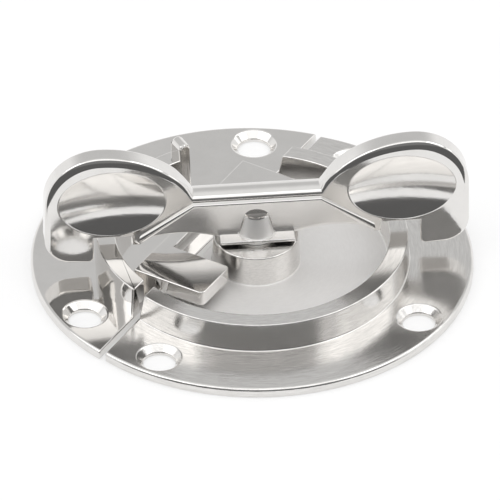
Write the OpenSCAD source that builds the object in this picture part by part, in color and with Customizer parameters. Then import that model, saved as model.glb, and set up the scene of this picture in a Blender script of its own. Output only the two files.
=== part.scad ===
// Twist button catch: a round cast plate in two pieces, a main plate and a keeper,
// with a butterfly wing that turns on the main plate's boss and swings over the keeper.
// Millimetres. The mounting face is z = 0, +X points from the keeper to the main plate,
// Y runs along the split, and the origin is the middle of the footprint.

/* [Plates] */
// Diameter of each plate's round edge
plate_d = 63; // [62:0.5:70]
// Thickness of the flange
flange_t = 1.5; // [1.2:0.1:2.5]
// Bevel round the flange's upper edge
flange_bevel = 0.3; // [0.1:0.05:0.5]
// Distance from the pivot axis to the main plate's straight edge
split_x = 7.2; // [7:0.1:8]
// Gap between the two straight edges
split_gap = 0.9; // [0.5:0.1:1.5]
// Distance from the pivot axis to the centre of the keeper's round edge
keeper_shift = 1.3; // [0:0.1:1.5]

/* [Screw holes] */
// Distance from the plate's round edge to the middle of each screw hole
hole_edge = 4.1; // [3.8:0.1:4.4]
// Diameter of a screw hole
hole_d = 4.6; // [3.5:0.1:5]
// Diameter of the countersink at the flange's face
countersink_d = 6.6; // [5.5:0.1:7]
// Depth of the countersink
countersink_depth = 1; // [0.5:0.1:1.1]
// Angle of the keeper's two holes from the middle of the keeper
keeper_hole_angle = 61; // [58:1:64]

/* [Ring wall] */
// Width of the flange outside the ring wall's top
flange_w = 9.5; // [9:0.1:10]
// Width of the ring wall's flat top
ring_w = 2.7; // [2:0.1:3]
// Height of the main plate's ring wall above the flange
main_ring_h = 4.5; // [4:0.1:4.7]
// Height of the keeper's ring wall above the flange
keeper_ring_h = 4.9; // [4.5:0.1:5]
// How far each side of the ring wall spreads towards its foot
ring_draft = 0.2; // [0:0.05:0.4]
// How far the main ring wall's ends lean back at the top
ring_end_lean = 0.8; // [0:0.1:1.2]

/* [Stop lug] */
// Height of the stop lug above the flange
lug_h = 7.4; // [7:0.1:9]
// Width of the stop lug along the ring wall
lug_w = 1.8; // [1.5:0.1:3]
// Angle of the stop lug from the middle of the keeper
lug_angle = 31; // [26:1:36]

/* [Fork] */
// Gap between each prong's outer side and the main ring wall, at the pivot axis
fork_side_gap = 3.9; // [3.2:0.1:5]
// Gap between each prong's inner side and the foot of the boss
slot_clearance = 1.3; // [0.8:0.1:2]
// Height of the fork's upper face above the flange
fork_top = 3.75; // [3:0.05:4.4]
// Thickness of the prongs
prong_t = 2.4; // [1.5:0.1:2.8]
// How far the prong tips pass the pivot axis
prong_reach = 0.2; // [0:0.1:2]
// Thickness of the cross wall that carries the prongs
fork_wall_t = 3.3; // [2.5:0.1:4]
// Depth of the slot into the cross wall
fork_wall_notch = 1.1; // [0:0.1:1.5]
// Corner radius at the prongs' inner tips
prong_inner_round = 0.7; // [0.4:0.1:2]
// Corner radius at the prongs' outer tips
prong_outer_round = 0.9; // [0.3:0.1:2]

/* [Boss and pivot] */
// Radius of the boss at its top
boss_r = 6.2; // [5.8:0.1:6.4]
// Height of the boss above the flange
boss_h = 4.7; // [4:0.1:5]
// How far the boss spreads towards its foot
boss_draft = 0.2; // [0:0.05:0.4]
// Diameter of the wing's stem
stem_d = 5; // [4:0.1:5.2]
// Radial clearance between the stem and its bore
stem_clearance = 0.05; // [0.02:0.01:0.1]
// Thickness of the boss above the spring pocket
boss_roof_t = 2.6; // [2:0.1:3]
// Thickness of the boss round the spring pocket
pocket_wall_t = 1.4; // [1:0.1:1.7]
// How far the stem's end stays above the mounting face
stem_end_gap = 0.5; // [0.2:0.1:0.7]
// Bevel of the stem's end
stem_bevel = 0.3; // [0.1:0.05:0.5]

/* [Spring, washer and ring] */
// Gap between flat faces that turn or press on each other
face_gap = 0.05; // [0.02:0.01:0.08]
// Gap between the edges of the washers and the pocket or the stem
edge_gap = 0.1; // [0.05:0.05:0.2]
// Thickness of the disc spring's metal
spring_t = 0.4; // [0.3:0.05:0.5]
// Height of the disc spring as fitted
spring_h = 0.9; // [0.7:0.05:1]
// Thickness of the thrust washer
washer_t = 0.7; // [0.5:0.05:0.8]
// Thickness of the retaining ring
clip_t = 0.6; // [0.4:0.05:0.7]
// How far the retaining ring stands out from the stem
clip_w = 1.5; // [1:0.1:1.8]
// Depth of the ring's groove in the stem
groove_depth = 0.5; // [0.3:0.05:0.7]
// How much narrower the retaining ring's mouth is than the groove
clip_grip = 0.6; // [0.2:0.1:1.5]

/* [Wing] */
// Angle of the wing at rest from the X axis
wing_angle = 36.3; // [30:0.1:40]
// Thickness of the wing's lobes and bar
wing_t = 3.5; // [3:0.1:4]
// How far the wing's ends stay inside the main plate's round edge
wing_inset = 0.65; // [0.5:0.05:1]
// Height of the lobes' tops above the flange
lobe_top = 20.65; // [19:0.05:22]
// Radius of each lobe's outer end
lobe_end_r = 8.05; // [7.5:0.05:8.4]
// Radius of each lobe's inner shoulder
shoulder_r = 16.4; // [15:0.1:18]
// Height of the bar's top above the flange
bar_top = 13.3; // [12.5:0.1:14]
// Depth of the bar from its top to its lower lip
bar_h = 1.8; // [1.4:0.1:2.4]
// Radius of the bar's upper edges
bar_round = 0.9; // [0.4:0.1:1.2]
// Gap between each lobe's heel and the main ring wall's inner side
heel_clearance = 1.3; // [1:0.1:1.6]
// Length of the flat under each lobe's heel
heel_l = 1; // [0.6:0.1:1.5]
// Height of the wing's arch above the keeper's ring wall
ring_clearance = 1.8; // [1.5:0.1:2.4]
// Clearance between the tabs and the ring wall
tab_clearance = 0.25; // [0.2:0.05:0.6]
// Height of the tabs' lower ends above the flange
tab_gap = 2.5; // [1.5:0.1:3]
// Radius of the tabs' outer lower corners
tab_round = 4; // [2:0.1:4.5]
// Radius of the tabs' inner lower corners
tab_inner_round = 0.8; // [0.3:0.1:1.5]

/* [Lobe margins] */
// Width of the rounded margin at the top of a lobe's face
margin_w = 1.2; // [1:0.1:1.6]
// Width of the rounded margin at the outer side of a lobe's face
margin_side_w = 0.8; // [0.6:0.1:1.2]
// Width of the rounded margin where it runs out at the bar
margin_run_out = 0.3; // [0.2:0.05:0.5]
// How far the margin falls back at the top of a lobe
margin_fall = 0.55; // [0.4:0.05:0.7]
// Angle at which the margin leaves the lobe's face
margin_tilt = 8; // [4:1:12]

/* [Finger dishes] */
// Length of a dish along the wing
dish_l = 15.8; // [14:0.1:16]
// Height of a dish
dish_h = 11.2; // [10:0.1:11.6]
// Depth of a dish at its middle
dish_depth = 1.1; // [0.6:0.05:1.3]
// How far a dish's middle lies inside the middle of the lobe's round end
dish_inset = 1.7; // [1.4:0.1:2]
// How far a dish's middle lies above the middle of the lobe's round end
dish_rise = 0.15; // [0:0.05:0.4]

/* [Web and hub] */
// Thickness of the web at its thinnest
web_t = 1.6; // [1:0.1:2]
// Radius of the hollow in each side of the web
cove_r = 24; // [20:1:40]
// Height of the web's thinnest line above the flange
cove_z = 9.5; // [9:0.1:10]
// Rise of the arches in the web's lower edge
arch_rise = 1; // [0.5:0.1:1.4]
// Length of the foot along the wing
foot_l = 11; // [9:0.1:11.2]
// Depth of the foot across the wing
foot_w = 6.2; // [5.8:0.1:6.6]
// Height of the foot
foot_h = 0.5; // [0.4:0.1:1]
// Gap between the foot and the boss
foot_gap = 0.45; // [0.3:0.05:0.8]
// Diameter of the conical hub at its base
hub_base_d = 5.84; // [5.4:0.02:6.2]
// Diameter of the conical hub at its top
hub_top_d = 3.88; // [3:0.02:4.6]
// Height of the hub's top above the flange
hub_top = 8.87; // [8:0.01:10]

/* [Hidden] */
$fn = 128;
// Overlap that lets a cut pass cleanly through a face
cut = 1;
plate_r = plate_d / 2;
hole_circle_r = plate_r - hole_edge;
ring_r = plate_r - flange_w;
// The pivot axis stands off the middle of the footprint by half the keeper's shift
pivot_x = keeper_shift / 2;
keeper_edge_x = split_x + split_gap;
ring_in_r = ring_r - ring_w;
boss_foot_r = boss_r + boss_draft;
fork_w = 2 * (ring_in_r - fork_side_gap);
fork_slot_w = 2 * (boss_foot_r + slot_clearance);
boss_top_z = flange_t + boss_h;
pocket_z = boss_top_z - boss_roof_t;
stem_r = stem_d / 2;
bore_r = stem_r + stem_clearance;
spring_z = pocket_z - face_gap - spring_h;
washer_z = spring_z - face_gap - washer_t;
clip_z = washer_z - face_gap - clip_t;
pocket_r = boss_r - pocket_wall_t;
disc_r = pocket_r - edge_gap;
disc_hole_r = stem_r + edge_gap;
groove_r = stem_r - groove_depth;
clip_r = stem_r + clip_w;
clip_mouth = 2 * groove_r - clip_grip;
// The wing's heights below are above the flange, as its sizes are
foot_z = boss_h + foot_gap;
heel_z = foot_z;
arch_z = keeper_ring_h + ring_clearance;
wing_reach = plate_r - wing_inset;
lobe_u = wing_reach - lobe_end_r;
lobe_z = lobe_top - lobe_end_r;
bar_z = bar_top - bar_h;
crotch_u = lobe_u - sqrt(pow(shoulder_r, 2) - pow(shoulder_r - lobe_top + bar_top, 2));
notch_u = ring_in_r - heel_clearance;
heel_u = notch_u - heel_l;
dish_u = lobe_u - dish_inset;
dish_z = lobe_z + dish_rise;
tab_u = ring_r + ring_draft + keeper_shift + tab_clearance;
// The web's ends reach this far into the foot and the heels
web_lap = 0.3;
arch_start = foot_l / 2 - web_lap;
arch_end = heel_u + 2 * web_lap;
arch_span = arch_end - arch_start;
arch_r = (pow(arch_span / 2, 2) + pow(arch_rise, 2)) / (2 * arch_rise);
// A margin's round starts on a line inside the lobe's outline, made of arcs and a straight side
margin_chord = sqrt(pow(margin_fall, 2) + pow(margin_w, 2));
margin_r = margin_chord / (2 * sin(atan(margin_fall / margin_w) - margin_tilt));
margin_top = lobe_top - margin_w;
margin_side_u = wing_reach - margin_side_w;
// The side's line lies this far inside the arcs at its ends, so that they cross at a clear angle
margin_lap = 0.05;
margin_end_r = margin_side_u + margin_lap - lobe_u;
// At the tab the margin bends in early enough to leave the lobe through the tab's underside
margin_tab_z = tab_gap + tab_round - margin_side_w / 2;
run_out_u = lobe_u - crotch_u + margin_run_out * (crotch_u - lobe_u) / shoulder_r;
run_out_z = bar_top - margin_run_out * (bar_top - lobe_top + shoulder_r) / shoulder_r;
margin_z = (pow(run_out_u, 2) + pow(run_out_z, 2) - pow(margin_top, 2)) / (2 * (run_out_z - margin_top));
run_out_angle = atan2(run_out_u, run_out_z - margin_z);
// A dish is cut by a spindle whose axis lies in front of the face
dish_axis = (pow(dish_h / 2, 2) - pow(dish_depth, 2)) / (2 * dish_depth);
dish_arc_r = (pow(dish_l / 2, 2) + pow(dish_depth, 2)) / (2 * dish_depth);
spindle_r = dish_axis + dish_depth;
far = 2 * plate_d;

// A round flange with a bevelled upper edge
module flange() {
    rotate_extrude()
        polygon([
            [0, 0],
            [plate_r, 0],
            [plate_r, flange_t - flange_bevel],
            [plate_r - flange_bevel, flange_t],
            [0, flange_t]
        ]);
}

// Section of the ring wall, standing on the flange
module ring_section(height) {
    polygon([
        [ring_in_r - ring_draft, flange_t - flange_bevel],
        [ring_r + ring_draft, flange_t - flange_bevel],
        [ring_r + ring_draft, flange_t],
        [ring_r, flange_t + height],
        [ring_in_r, flange_t + height],
        [ring_in_r - ring_draft, flange_t]
    ]);
}

// A countersunk screw hole at an angle on the hole circle
module screw_hole(angle) {
    rotate([0, 0, angle])
        translate([hole_circle_r, 0, 0]) {
            translate([0, 0, -cut])
                cylinder(h = flange_t + 2 * cut, d = hole_d);
            translate([0, 0, flange_t - countersink_depth])
                cylinder(h = countersink_depth, d1 = hole_d, d2 = countersink_d);
            translate([0, 0, flange_t])
                cylinder(h = cut, d = countersink_d);
        }
}

// Everything on the keeper's side of an upright plane at x
module beyond(x) {
    translate([x - far, -far / 2, -cut])
        cube([far, far, far]);
}

// Main plate: flange, ring wall and boss in one casting, bored for the stem
module main_plate() {
    lean = atan(ring_end_lean / main_ring_h);
    color([0.78, 0.77, 0.76])
        translate([pivot_x, 0, 0])
            difference() {
                union() {
                    difference() {
                        flange();
                        beyond(-split_x);
                    }
                    difference() {
                        rotate_extrude()
                            ring_section(main_ring_h);
                        beyond(-split_x);
                        translate([-split_x, 0, flange_t])
                            rotate([0, lean, 0])
                                translate([-far, -far / 2, 0])
                                    cube([far, far, far]);
                    }
                    translate([0, 0, flange_t / 2])
                        cylinder(h = flange_t / 2, r = boss_foot_r);
                    translate([0, 0, flange_t])
                        cylinder(h = boss_h, r1 = boss_foot_r, r2 = boss_r);
                }
                for (angle = [-90, 0, 90])
                    screw_hole(angle);
                translate([0, 0, -cut])
                    cylinder(h = boss_top_z + 2 * cut, r = bore_r);
                translate([0, 0, -cut])
                    cylinder(h = pocket_z + cut, r = pocket_r);
            }
}

// Square corner with a round inside it, to take off a sharp corner in the +X +Y direction
module corner_cut(radius) {
    difference() {
        translate([-radius, -radius])
            square(radius + cut);
        translate([-radius, -radius])
            circle(radius);
    }
}

// Outline of the fork, with its slot open towards the boss
module fork_outline() {
    wall_x = -keeper_edge_x - fork_wall_t;
    difference() {
        translate([wall_x, -fork_w / 2])
            square([prong_reach - wall_x, fork_w]);
        translate([-keeper_edge_x - fork_wall_notch, -fork_slot_w / 2])
            square([far, fork_slot_w]);
        for (side = [0, 1])
            mirror([0, side]) {
                translate([prong_reach, fork_w / 2])
                    corner_cut(prong_outer_round);
                translate([prong_reach, fork_slot_w / 2])
                    mirror([0, 1])
                        corner_cut(prong_inner_round);
            }
    }
}

// Upright lug with a rounded top, laid across the ring wall
module stop_lug() {
    intersection() {
        rotate_extrude()
            ring_section(lug_h);
        rotate([0, 0, 180 - lug_angle])
            rotate([90, 0, 90])
                linear_extrude(ring_r + cut) {
                    translate([-lug_w / 2, flange_t - flange_bevel])
                        square([lug_w, lug_h + flange_bevel - lug_w / 2]);
                    translate([0, flange_t + lug_h - lug_w / 2])
                        circle(d = lug_w);
                }
    }
}

// Keeper: flange, part of the ring wall with its stop lug, and the fork
module keeper_plate() {
    color([0.82, 0.81, 0.8])
        translate([pivot_x, 0, 0]) {
            difference() {
                translate([-keeper_shift, 0, 0])
                    difference() {
                        union() {
                            flange();
                            rotate([0, 0, 180 - lug_angle])
                                rotate_extrude(angle = 90 + lug_angle)
                                    ring_section(keeper_ring_h);
                            stop_lug();
                        }
                        for (side = [-1, 1])
                            screw_hole(180 + side * keeper_hole_angle);
                    }
                translate([-keeper_edge_x, -far / 2, -cut])
                    cube([far, far, far]);
            }
            translate([0, 0, flange_t + fork_top - prong_t])
                linear_extrude(prong_t)
                    fork_outline();
            translate([0, 0, flange_t / 2])
                linear_extrude(flange_t / 2 + fork_top)
                    intersection() {
                        fork_outline();
                        translate([-keeper_edge_x - far, -far / 2])
                            square([far, far]);
                    }
        }
}

// Outline of one lobe with its heel and its tab, above the flange
module lobe_outline() {
    tab_mid_u = wing_reach - tab_round;
    difference() {
        union() {
            intersection() {
                translate([lobe_u, lobe_top - shoulder_r])
                    circle(shoulder_r);
                translate([crotch_u, heel_z])
                    square([lobe_u - crotch_u, lobe_top]);
            }
            translate([lobe_u, lobe_z])
                circle(lobe_end_r);
            translate([lobe_u, tab_gap + tab_round])
                square([wing_reach - lobe_u, lobe_z - tab_gap - tab_round]);
            translate([tab_u, tab_gap])
                square([tab_mid_u - tab_u, lobe_z - tab_gap]);
            translate([tab_mid_u, tab_gap + tab_round])
                circle(tab_round);
        }
        // The straight lower edge from the bar to the heel
        polygon([
            [crotch_u - cut, bar_z],
            [crotch_u, bar_z],
            [heel_u, heel_z],
            [heel_u, heel_z - far],
            [crotch_u - cut, heel_z - far]
        ]);
        // The arch over the ring wall
        translate([notch_u, arch_z - far])
            square([tab_u - notch_u, far]);
        translate([tab_u, tab_gap])
            mirror([1, 0])
                mirror([0, 1])
                    corner_cut(tab_inner_round);
    }
}

// Section of the cutter that rounds a margin, starting at the given distance from its axis
module margin_section(start) {
    difference() {
        translate([start, wing_t / 2 - margin_fall - cut])
            square([margin_w + cut, margin_fall + 2 * cut]);
        translate([start - margin_r * sin(margin_tilt), wing_t / 2 - margin_r * cos(margin_tilt)])
            circle(margin_r);
    }
}

// One margin's cutter in the wing's plane: shoulder, round end, outer side and tab
module margin_cutter() {
    translate([lobe_u, margin_z])
        rotate([0, 0, 90])
            rotate_extrude(angle = run_out_angle)
                margin_section(margin_top - margin_z);
    translate([lobe_u, margin_top - margin_end_r])
        rotate_extrude(angle = 90)
            margin_section(margin_end_r);
    translate([margin_side_u, margin_top - margin_end_r + margin_w])
        rotate([90, 0, 0])
            linear_extrude(margin_top - margin_end_r + 2 * margin_w - margin_tab_z)
                margin_section(0);
    translate([margin_side_u + margin_lap - tab_round, margin_tab_z])
        rotate([0, 0, -90])
            rotate_extrude(angle = 90)
                margin_section(tab_round);
}

// One dish's cutter: a spindle along the wing, in front of the face
module dish_cutter() {
    rotate([0, 90, 0])
        rotate_extrude()
            intersection() {
                translate([spindle_r - dish_arc_r, 0])
                    circle(dish_arc_r);
                translate([0, -dish_l])
                    square([2 * spindle_r, 2 * dish_l]);
            }
}

// Outline of the web between the bar, the lobes and the two arches
module web_outline() {
    difference() {
        polygon([
            [-heel_u - web_lap, heel_z],
            [heel_u + web_lap, heel_z],
            [crotch_u, bar_z + bar_h / 2],
            [-crotch_u, bar_z + bar_h / 2]
        ]);
        for (side = [-1, 1])
            translate([side * (arch_start + arch_end) / 2, foot_z + arch_rise - arch_r])
                circle(arch_r);
    }
}

// Cross section of the web, hollowed on both sides
module web_section() {
    difference() {
        translate([-wing_t / 2, foot_z - cut])
            square([wing_t, bar_z + bar_h / 2 - foot_z + cut]);
        for (side = [-1, 1])
            translate([side * (web_t / 2 + cove_r), cove_z])
                circle(cove_r);
    }
}

// Cross section of the bar, with rounded upper edges
module bar_section() {
    difference() {
        translate([-wing_t / 2, bar_z])
            square([wing_t, bar_h]);
        for (side = [0, 1])
            mirror([side, 0])
                translate([wing_t / 2, bar_top])
                    corner_cut(bar_round);
    }
}

// A cross section, drawn out along the wing to the given length
module along(length) {
    rotate([90, 0, 90])
        linear_extrude(length, center = true)
            children();
}

// An outline in the wing's plane, made into a slab of the given thickness
module upright(thickness) {
    rotate([90, 0, 0])
        linear_extrude(thickness, center = true)
            children();
}

// Wing: two dished lobes on a bar, with the web, the conical hub and the stem below
module wing_knob() {
    color([0.8, 0.79, 0.78])
        translate([pivot_x, 0, flange_t])
            rotate([0, 0, wing_angle]) {
                difference() {
                    upright(wing_t)
                        for (side = [0, 1])
                            mirror([side, 0])
                                lobe_outline();
                    for (side = [-1, 1], face = [-1, 1])
                        translate([side * dish_u, face * (wing_t / 2 + dish_axis), dish_z])
                            dish_cutter();
                    for (side = [0, 1], face = [0, 1])
                        mirror([side, 0, 0])
                            mirror([0, face, 0])
                                rotate([90, 0, 0])
                                    margin_cutter();
                }
                along(2 * crotch_u + 2 * cut)
                    bar_section();
                intersection() {
                    along(2 * notch_u)
                        web_section();
                    upright(wing_t)
                        web_outline();
                }
                translate([-foot_l / 2, -foot_w / 2, foot_z])
                    cube([foot_l, foot_w, foot_h]);
                translate([0, 0, foot_z])
                    cylinder(h = hub_top - foot_z, d1 = hub_base_d, d2 = hub_top_d);
                translate([0, 0, boss_h + face_gap])
                    cylinder(h = foot_gap - face_gap, d = hub_base_d);
                stem();
            }
}

// Stem under the hub, with the retaining ring's groove and a bevelled end
module stem() {
    groove_bottom = clip_z - face_gap - flange_t;
    groove_top = clip_z + clip_t + face_gap - flange_t;
    end = stem_end_gap - flange_t;
    rotate_extrude()
        polygon([
            [0, end],
            [stem_r - stem_bevel, end],
            [stem_r, end + stem_bevel],
            [stem_r, groove_bottom],
            [groove_r, groove_bottom],
            [groove_r, groove_top],
            [stem_r, groove_top],
            [stem_r, foot_z],
            [0, foot_z]
        ]);
}

// Disc spring that draws the wing down on the boss
module disc_spring() {
    color([0.6, 0.59, 0.57])
        translate([pivot_x, 0, spring_z])
            rotate_extrude()
                polygon([
                    [disc_hole_r, 0],
                    [disc_r, spring_h - spring_t],
                    [disc_r, spring_h],
                    [disc_hole_r, spring_t]
                ]);
}

// Flat washer between the spring and the retaining ring
module thrust_washer() {
    color([0.66, 0.65, 0.63])
        translate([pivot_x, 0, washer_z])
            difference() {
                cylinder(h = washer_t, r = disc_r);
                translate([0, 0, -cut])
                    cylinder(h = washer_t + 2 * cut, r = disc_hole_r);
            }
}

// Open retaining ring in the stem's groove
module retaining_ring() {
    color([0.5, 0.49, 0.47])
        translate([pivot_x, 0, clip_z])
            rotate([0, 0, wing_angle])
                difference() {
                    cylinder(h = clip_t, r = clip_r);
                    translate([0, 0, -cut])
                        cylinder(h = clip_t + 2 * cut, r = groove_r + stem_clearance);
                    translate([0, -clip_mouth / 2, -cut])
                        cube([2 * clip_r, clip_mouth, clip_t + 2 * cut]);
                }
}

main_plate();
keeper_plate();
wing_knob();
disc_spring();
thrust_washer();
retaining_ring();
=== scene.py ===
import itertools
import math

import bmesh
import bpy
from mathutils import Matrix, Vector


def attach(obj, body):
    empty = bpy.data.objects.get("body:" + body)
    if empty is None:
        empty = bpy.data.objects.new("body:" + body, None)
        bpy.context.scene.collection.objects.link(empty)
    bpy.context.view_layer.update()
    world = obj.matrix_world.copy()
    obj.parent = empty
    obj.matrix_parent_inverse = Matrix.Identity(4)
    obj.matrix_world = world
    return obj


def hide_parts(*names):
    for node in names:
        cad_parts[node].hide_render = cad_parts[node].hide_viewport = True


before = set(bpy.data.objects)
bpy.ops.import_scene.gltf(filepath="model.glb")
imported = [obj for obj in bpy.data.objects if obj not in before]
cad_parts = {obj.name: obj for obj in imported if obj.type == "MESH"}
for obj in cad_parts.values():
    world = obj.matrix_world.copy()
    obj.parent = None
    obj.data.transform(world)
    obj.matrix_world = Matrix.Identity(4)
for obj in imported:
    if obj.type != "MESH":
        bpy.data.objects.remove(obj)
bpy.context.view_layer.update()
MM = 0.001
PIVOT = Vector((0.65, 0.0, 0.0)) * MM
FLANGE_T = 1.5
CREASE = math.radians(25)


# Wing casting, drawn in its own plane: u along the wing, v across it, z above the flange, in millimetres

WING_TURN = math.radians(36.3)
WING_T, WING_REACH = 3.5, 30.85
LOBE_TOP, LOBE_R, LOBE_EDGE, SHOULDER_R = 20.649, 8.05, 0.45, 16.4
BAR_TOP, BAR_BOTTOM, BAR_CROWN, CROWN_FADE = 13.3, 11.5, 0.9, 2.5
RIDGE_R, RIDGE_LEAN, RIDGE_FADE = 0.7, math.radians(68), 0.1
BAR_RIDGE_R, BAR_RIDGE_H, PLAIN_EDGE = 0.25, 0.55, 0.35
HEEL_U, HEEL_Z, NOTCH_U, NOTCH_EDGE, ARCH_Z = 17.0, 5.15, 18.0, 0.2, 6.7
TAB_U, TAB_Z, TAB_ROUND, TAB_INNER, TAB_EDGE = 23.75, 2.5, 4.0, 0.8, 0.25
DISH_L, DISH_H, DISH_DEPTH = 15.8, 11.2, 1.1
DISH_U, DISH_Z, RIM_SOFT = 21.1, 12.75, 0.18
MARGIN_W, MARGIN_SIDE, MARGIN_OUT, MARGIN_FALL, MARGIN_LAP = 1.2, 0.8, 0.3, 0.55, 0.05
MARGIN_TILT = math.radians(8)
WEB_T, WEB_EDGE, WEB_LAP, WEB_TOP_LAP = 1.6, 0.3, 0.3, 0.5
COVE_R, COVE_Z, ARCH_RISE = 24.0, 9.5, 1.0
FOOT_L, FOOT_W, FOOT_H, FOOT_EDGE, FOOT_LAP = 11.0, 6.2, 0.5, 0.15, 1.0
STEM_R, STEM_END, STEM_BEVEL = 2.5, -1.0, 0.3
GROOVE_R, GROOVE_LOW, GROOVE_HIGH = 2.0, 0.05, 0.75
HUB_R, HUB_LOW, HUB_SHOULDER, HUB_TOP = 2.92, 4.75, 2.02, 8.87
# The round at the hub's top, as steps of inset and fall
HUB_ROUND = [(0.0, 0.22), (0.08, 0.07), (0.22, 0.0)]
LOBE_U = WING_REACH - LOBE_R
LOBE_Z = LOBE_TOP - LOBE_R
CROTCH_U = LOBE_U - math.sqrt(SHOULDER_R ** 2 - (SHOULDER_R - LOBE_TOP + BAR_TOP) ** 2)
MARGIN_TURN = math.atan(MARGIN_FALL / MARGIN_W) - MARGIN_TILT
MARGIN_R = math.hypot(MARGIN_W, MARGIN_FALL) / (2 * math.sin(MARGIN_TURN))


def arc(centre, radius, start, end, steps):
    turns = [math.radians(start + (end - start) * i / steps) for i in range(steps + 1)]
    return [(centre[0] + radius * math.cos(a), centre[1] + radius * math.sin(a)) for a in turns]


class Skin:
    """Faces gathered with the true surface normal at each of their corners."""

    def __init__(self):
        self.points, self.index, self.faces, self.normals = [], {}, [], []

    def corner(self, point):
        key = tuple(round(c, 4) for c in point)
        if key not in self.index:
            self.index[key] = len(self.points)
            self.points.append(point)
        return self.index[key]

    def face(self, corners):
        ids = [self.corner(p) for p, _ in corners]
        if len(set(ids)) < 3:
            return
        kept = [i for i in range(len(ids)) if ids[i] != ids[i - 1]]
        self.faces.append([ids[i] for i in kept])
        self.normals.extend(Vector(corners[i][1]).normalized() for i in kept)

    def quad(self, a, b, c, d):
        """A face through four (point, normal) corners, turned to face along the normals."""
        across = (Vector(c[0]) - Vector(a[0])).cross(Vector(d[0]) - Vector(b[0]))
        out = Vector(a[1]) + Vector(b[1]) + Vector(c[1]) + Vector(d[1])
        self.face((a, b, c, d) if across.dot(out) > 0 else (d, c, b, a))

    def grid(self, rows):
        """Quads between neighbouring rows of (point, normal) corners."""
        for first, second in zip(rows, rows[1:]):
            for i in range(len(first) - 1):
                self.quad(first[i], first[i + 1], second[i + 1], second[i])

    def flat(self, loops, normal):
        """A flat face inside the first loop, with the other loops as holes."""
        bm = bmesh.new()
        for loop in loops:
            made = [bm.verts.new(p) for p in loop]
            for i in range(len(made)):
                bm.edges.new((made[i - 1], made[i]))
        filled = bmesh.ops.triangle_fill(bm, use_beauty=True, edges=bm.edges[:], normal=normal)
        for face in filled["geom"]:
            if isinstance(face, bmesh.types.BMFace):
                points = [tuple(v.co) for v in face.verts]
                if face.normal.dot(Vector(normal)) < 0:
                    points.reverse()
                self.face([(p, normal) for p in points])
        bm.free()

    def turned(self, profile, steps=96):
        """A surface of revolution about z from (radius, z) points, with the solid on their left."""
        normals = []
        for (r0, z0), (r1, z1) in zip(profile, profile[1:]):
            normals.append(Vector((z1 - z0, 0.0, r0 - r1)).normalized())
        for k, (start, end) in enumerate(zip(profile, profile[1:])):
            rows = []
            for (r, z), near in ((start, k - 1), (end, k + 1)):
                soft = 0 <= near < len(normals) and normals[near].angle(normals[k]) < CREASE
                n = (normals[k] + normals[near]).normalized() if soft else normals[k]
                row = []
                for i in range(steps + 1):
                    c, s = math.cos(2 * math.pi * i / steps), math.sin(2 * math.pi * i / steps)
                    row.append(((r * c, r * s, z), (n.x * c, n.x * s, n.z)))
                rows.append(row)
            self.grid(rows)

    def mesh(self, name, place):
        mesh = bpy.data.meshes.new(name)
        mesh.from_pydata([place @ (Vector(p) * MM) for p in self.points], [], self.faces)
        for face in mesh.polygons:
            face.use_smooth = True
        turn = place.to_3x3()
        mesh.normals_split_custom_set([turn @ n for n in self.normals])
        return mesh


def margin_width(u, z):
    """How far a point of a lobe's outline lies outside the line on which the margin's round starts."""
    top, side = LOBE_TOP - MARGIN_W, WING_REACH - MARGIN_SIDE
    end_r = side + MARGIN_LAP - LOBE_U
    tab_z = TAB_Z + TAB_ROUND - MARGIN_SIDE / 2
    if u < LOBE_U:
        lean_u = (CROTCH_U - LOBE_U) / SHOULDER_R
        lean_z = (BAR_TOP - LOBE_TOP + SHOULDER_R) / SHOULDER_R
        run_u, run_z = LOBE_U - CROTCH_U + MARGIN_OUT * lean_u, BAR_TOP - MARGIN_OUT * lean_z
        low = (run_u ** 2 + run_z ** 2 - top ** 2) / (2 * (run_z - top))
        width = math.dist((u, z), (LOBE_U, low)) - (top - low)
    elif z < tab_z:
        width = math.dist((u, z), (side + MARGIN_LAP - TAB_ROUND, tab_z)) - TAB_ROUND
    elif z < top - end_r:
        width = u - side
    else:
        width = math.dist((u, z), (LOBE_U, top - end_r)) - end_r
    return max(width, u - side if tab_z - MARGIN_W < z < top - end_r + MARGIN_W else 0.0, 0.0)


def edge_section(width, edge):
    """The way from the flat face over the margin and the edge to the side: (inset, fall, normal's tilt)."""
    if width > edge:
        begin, drop = MARGIN_TILT, MARGIN_R * math.cos(MARGIN_TILT)
        end = math.asin((width - edge + MARGIN_R * math.sin(begin)) / (MARGIN_R - edge))
        steps = []
        for a in (begin + (end - begin) * k / 7 for k in range(8)):
            inset = width - MARGIN_R * (math.sin(a) - math.sin(begin))
            steps.append((inset, drop - MARGIN_R * math.cos(a), a))
        drop -= (MARGIN_R - edge) * math.cos(end)
    else:
        end, drop = 0.0, edge
        steps = [(edge, 0.0, 0.0)] * 8
    for a in (end + (math.pi / 2 - end) * k / 6 for k in range(1, 7)):
        steps.append((edge * (1 - math.sin(a)), drop - edge * math.cos(a), a))
    return steps


def mixed(first, second, share):
    """A section that lies a share of the way from one section to another."""
    return [tuple(a + (b - a) * share for a, b in zip(p, q)) for p, q in zip(first, second)]


def crown_section():
    """The way from the bar's face over its crowned top to the middle, as edge_section gives it."""
    half = WING_T / 2
    steps = []
    for a in (math.pi / 2 * k / 13 for k in range(14)):
        tilt = math.atan2(math.sin(a) / BAR_CROWN, math.cos(a) / half)
        steps.append((BAR_CROWN * (1 - math.sin(a)), half * (1 - math.cos(a)), tilt))
    return steps


def margin_section(u, z):
    """A lobe's margin at a point of its outline, which takes over from the bar's crown near the crotch."""
    own = edge_section(margin_width(u, z), LOBE_EDGE)
    return mixed(crown_section(), own, min((u - CROTCH_U) / CROWN_FADE, 1.0))


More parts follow.
